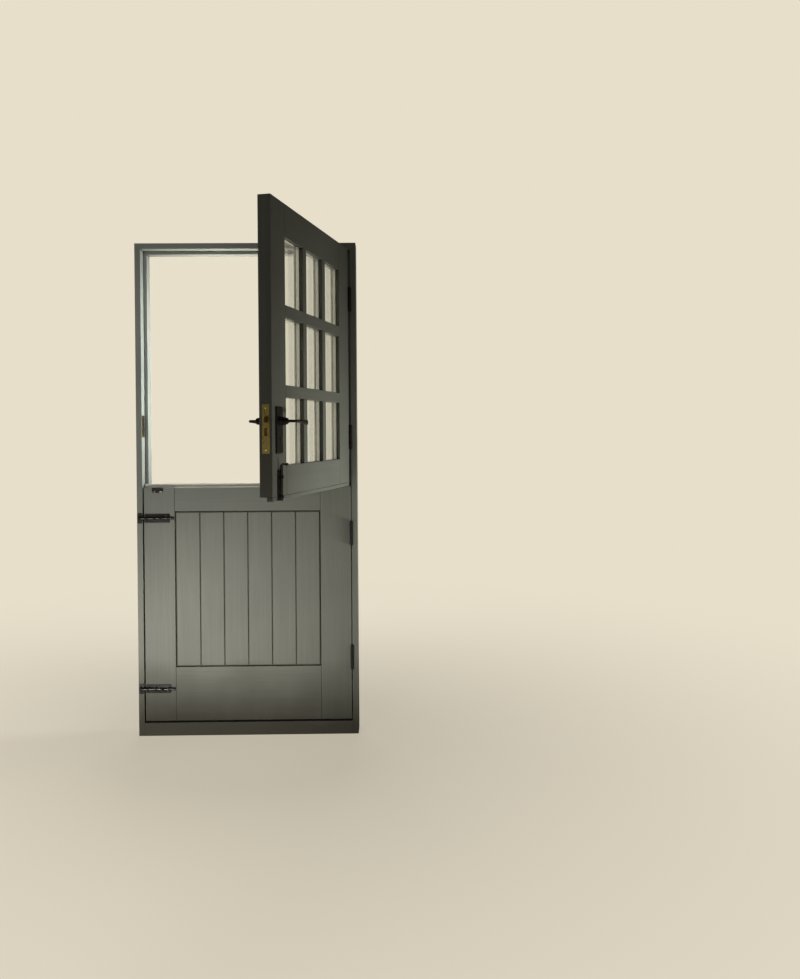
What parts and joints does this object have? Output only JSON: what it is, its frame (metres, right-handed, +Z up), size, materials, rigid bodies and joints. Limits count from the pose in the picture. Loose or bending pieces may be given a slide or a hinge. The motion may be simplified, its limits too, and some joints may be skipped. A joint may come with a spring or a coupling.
{
  "type": "stable door in its frame",
  "caption": "Painted timber stable door in a rebated frame: boarded lower leaf with side bolts, glazed upper leaf with lever lock and drop bolt, both on butt hinges.",
  "frame": {"origin": "underside of the sill, midway between the jambs, middle of the frame's depth", "axes": "+X to the right seen from the room, +Y outdoors, +Z up"},
  "size_m": [0.92, 0.9465, 2.06],
  "materials": {
    "painted_timber": "eggshell paint",
    "black_iron": "black wax",
    "aged_brass": "dull",
    "window_glass": "clear",
    "lock_steel": "plain",
    "spacer_aluminium": "mill"
  },
  "bodies": {
    "frame": {"latch_jamb": "painted_timber", "hinge_jamb": "painted_timber", "head": "painted_timber", "sill": "painted_timber", "strike_plate": "aged_brass", "strike_screws": "aged_brass", "frame_hinge_halves": "black_iron", "hinge_pins": "black_iron", "frame_hinge_screws": "black_iron", "side_keeps": "black_iron", "side_keep_screws": "black_iron"},
    "upper_leaf": {"upper_latch_stile": "painted_timber", "upper_hinge_stile": "painted_timber", "upper_top_rail": "painted_timber", "upper_bottom_rail": "painted_timber", "upper_meeting_strip": "painted_timber", "glazing_bars": "painted_timber", "muntins": "painted_timber", "room_panes": "window_glass", "outdoor_panes": "window_glass", "pane_spacers": "spacer_aluminium", "glazing_beads": "painted_timber", "lock_case": "lock_steel", "lock_forend": "aged_brass", "forend_screws": "aged_brass", "room_backplate": "black_iron", "outdoor_backplate": "black_iron", "backplate_screws": "black_iron", "upper_hinge_halves": "black_iron", "upper_hinge_screws": "black_iron", "drop_bolt_plate": "black_iron", "drop_bolt_screws": "black_iron"},
    "levers": {"room_lever": "black_iron", "outdoor_lever": "black_iron", "spindle": "lock_steel"},
    "latch": {"latch_bolt": "aged_brass"},
    "deadbolt": {"dead_bolt": "aged_brass"},
    "dropbolt": {"drop_bolt": "black_iron"},
    "lower_leaf": {"lower_latch_stile": "painted_timber", "lower_hinge_stile": "painted_timber", "lower_top_rail": "painted_timber", "lower_bottom_rail": "painted_timber", "lower_meeting_strip": "painted_timber", "lower_boards": "painted_timber", "lower_hinge_halves": "black_iron", "lower_hinge_screws": "black_iron", "side_bolt_plates": "black_iron", "side_bolt_screws": "black_iron", "drop_keep": "black_iron", "drop_keep_screws": "black_iron"},
    "topbolt": {"side_bolt_top": "black_iron"},
    "bottombolt": {"side_bolt_bottom": "black_iron"}
  },
  "joints": [
    {"name": "upper_leaf_swing", "type": "hinge", "parent": "frame", "child": "upper_leaf", "pos_m": [0.4345, -0.0535, 1.535], "axis": [0, 0, 1], "range_deg": [-76, 14]},
    {"name": "lower_leaf_swing", "type": "hinge", "parent": "frame", "child": "lower_leaf", "pos_m": [0.4345, -0.0535, 0.5845], "axis": [0, 0, 1], "range_deg": [0, 76]},
    {"name": "lever_turn", "type": "hinge", "parent": "upper_leaf", "child": "levers", "pos_m": [0.21125, -0.83109, 1.306], "axis": [-0.9703, 0.2419, 0], "range_deg": [0, 40], "stiffness_Nm_per_rad": 1.2, "springref_deg": -20.05},
    {"name": "latch_slide", "type": "slide", "parent": "upper_leaf", "child": "latch", "axis": [0.2419, 0.9703, 0], "range_m": [0, 0.012]},
    {"name": "dead_bolt_slide", "type": "slide", "parent": "upper_leaf", "child": "deadbolt", "axis": [-0.2419, -0.9703, 0], "range_m": [0, 0.014]},
    {"name": "drop_bolt_slide", "type": "slide", "parent": "upper_leaf", "child": "dropbolt", "axis": [0, 0, -1], "range_m": [0, 0.022]},
    {"name": "top_side_bolt_slide", "type": "slide", "parent": "lower_leaf", "child": "topbolt", "axis": [1, 0, 0], "range_m": [0, 0.02]},
    {"name": "bottom_side_bolt_slide", "type": "slide", "parent": "lower_leaf", "child": "bottombolt", "axis": [1, 0, 0], "range_m": [0, 0.02]}
  ],
  "couplings": [
    {"joint": "latch_slide", "follows": "lever_turn", "m_per_rad": 0.017189}
  ]
}
